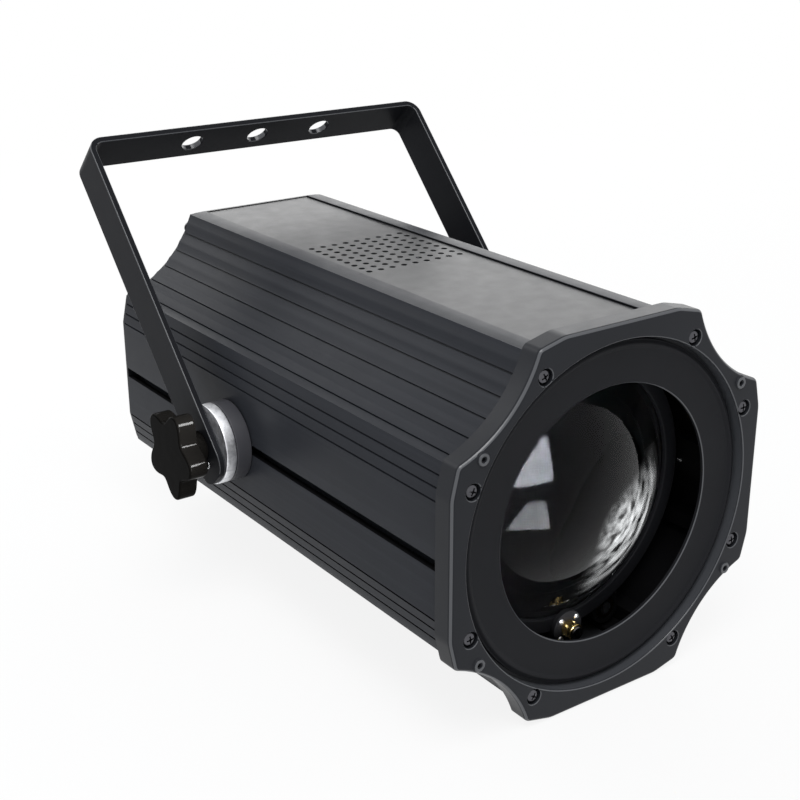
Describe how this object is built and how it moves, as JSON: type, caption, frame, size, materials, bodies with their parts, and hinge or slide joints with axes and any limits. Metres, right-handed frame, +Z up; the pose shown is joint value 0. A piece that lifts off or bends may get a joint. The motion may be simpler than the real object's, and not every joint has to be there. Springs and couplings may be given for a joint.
{
  "type": "zoom stage spotlight",
  "caption": "LED stage spotlight: extruded octagonal body, lens on a motorised zoom slide, tilting yoke clamped by star knobs in side T-slots.",
  "frame": {"origin": "middle of the footprint at the bottom of the bezel, as the light stands in the picture with its yoke tilted back", "axes": "+Y along the optical axis from the lens to the rear panel, +Z up, +X to the right seen from the front"},
  "size_m": [0.3046, 0.3817, 0.2746],
  "materials": {
    "body_paint": "charcoal powder coat on aluminium, satin",
    "plate_paint": "charcoal powder coat on aluminium plate, satin",
    "matt_black": "matte black coat",
    "screw_black": "black oxide, satin",
    "black_plastic": "moulded, matte",
    "friction_pad": "matte",
    "knob_plastic": "gloss",
    "display_acrylic": "gloss",
    "bare_aluminium": "satin",
    "steel": "satin",
    "brass": "satin",
    "lens_glass": "polished",
    "circuit_board": "satin"
  },
  "bodies": {
    "housing": {"aperture_plate": "matt_black", "bezel_screw_1": "screw_black", "bezel_screw_2": "screw_black", "bezel_screw_3": "screw_black", "bezel_screw_4": "screw_black", "bezel_screw_5": "screw_black", "bezel_screw_6": "screw_black", "bezel_screw_7": "screw_black", "bezel_screw_8": "screw_black", "body_left": "body_paint", "body_right": "body_paint", "bottom_plate": "plate_paint", "bulkhead": "matt_black", "control_board": "circuit_board", "data_in_socket": "black_plastic", "data_out_socket": "black_plastic", "display_window": "display_acrylic", "fan_frame": "black_plastic", "front_bezel": "body_paint", "fuse_holder": "black_plastic", "guide_rod_left": "steel", "guide_rod_right": "steel", "heat_sink": "bare_aluminium", "led_module": "bare_aluminium", "power_in_socket": "black_plastic", "power_out_socket": "black_plastic", "power_supply": "bare_aluminium", "rear_panel": "plate_paint", "rear_screw_1": "screw_black", "rear_screw_2": "screw_black", "rear_screw_3": "screw_black", "rear_screw_4": "screw_black", "reflector": "bare_aluminium", "top_plate": "plate_paint", "zoom_motor": "screw_black"},
    "pivot_carriage": {"t_bolt_left": "steel", "t_bolt_right": "steel", "friction_disc_left": "friction_pad", "friction_disc_right": "friction_pad"},
    "yoke": {"yoke": "plate_paint", "clamp_disc_left": "bare_aluminium", "clamp_disc_right": "bare_aluminium", "disc_screw_left": "steel", "disc_screw_right": "steel"},
    "knob_left": {"knob_left": "knob_plastic"},
    "knob_right": {"knob_right": "knob_plastic"},
    "lens_group": {"lens": "lens_glass", "lens_carriage": "matt_black", "lens_retainer": "matt_black", "lead_nut": "brass", "bushing_left": "brass", "bushing_right": "brass"},
    "lead_screw": {"lead_screw": "screw_black"},
    "fan_rotor": {"fan_rotor": "black_plastic"},
    "button_1": {"button_1": "black_plastic"},
    "button_2": {"button_2": "black_plastic"},
    "button_3": {"button_3": "black_plastic"},
    "button_4": {"button_4": "black_plastic"}
  },
  "joints": [
    {"name": "pivot_slide", "type": "slide", "parent": "housing", "child": "pivot_carriage", "axis": [0, 1, 0], "range_m": [-0.184, 0.125]},
    {"name": "yoke_tilt", "type": "hinge", "parent": "pivot_carriage", "child": "yoke", "pos_m": [0, 0.03289, 0.10835], "axis": [-1, 0, 0], "range_deg": [-95.3, 191.7]},
    {"name": "knob_left_turn", "type": "hinge", "parent": "pivot_carriage", "child": "knob_left", "pos_m": [0, 0.03289, 0.10835], "axis": [-1, 0, 0], "range_deg": [0, 360]},
    {"name": "knob_right_turn", "type": "hinge", "parent": "pivot_carriage", "child": "knob_right", "pos_m": [0, 0.03289, 0.10835], "axis": [1, 0, 0], "range_deg": [0, 360]},
    {"name": "lens_zoom", "type": "slide", "parent": "housing", "child": "lens_group", "axis": [0, 1, 0], "range_m": [0, 0.108]},
    {"name": "lead_screw_turn", "type": "hinge", "parent": "housing", "child": "lead_screw", "pos_m": [0, -0.09021, 0.0285], "axis": [0, 1, 0], "range_deg": [0, 4870]},
    {"name": "fan_spin", "type": "hinge", "parent": "housing", "child": "fan_rotor", "pos_m": [0, 0.04739, 0.1155], "axis": [0, 1, 0], "continuous": true},
    {"name": "button_1_press", "type": "slide", "parent": "housing", "child": "button_1", "axis": [0, -1, 0], "range_m": [0, 0.0008], "stiffness_N_per_m": 400},
    {"name": "button_2_press", "type": "slide", "parent": "housing", "child": "button_2", "axis": [0, -1, 0], "range_m": [0, 0.0008], "stiffness_N_per_m": 400},
    {"name": "button_3_press", "type": "slide", "parent": "housing", "child": "button_3", "axis": [0, -1, 0], "range_m": [0, 0.0008], "stiffness_N_per_m": 400},
    {"name": "button_4_press", "type": "slide", "parent": "housing", "child": "button_4", "axis": [0, -1, 0], "range_m": [0, 0.0008], "stiffness_N_per_m": 400}
  ],
  "couplings": [
    {"joint": "lead_screw_turn", "follows": "lens_zoom", "rad_per_m": 785.4}
  ]
}
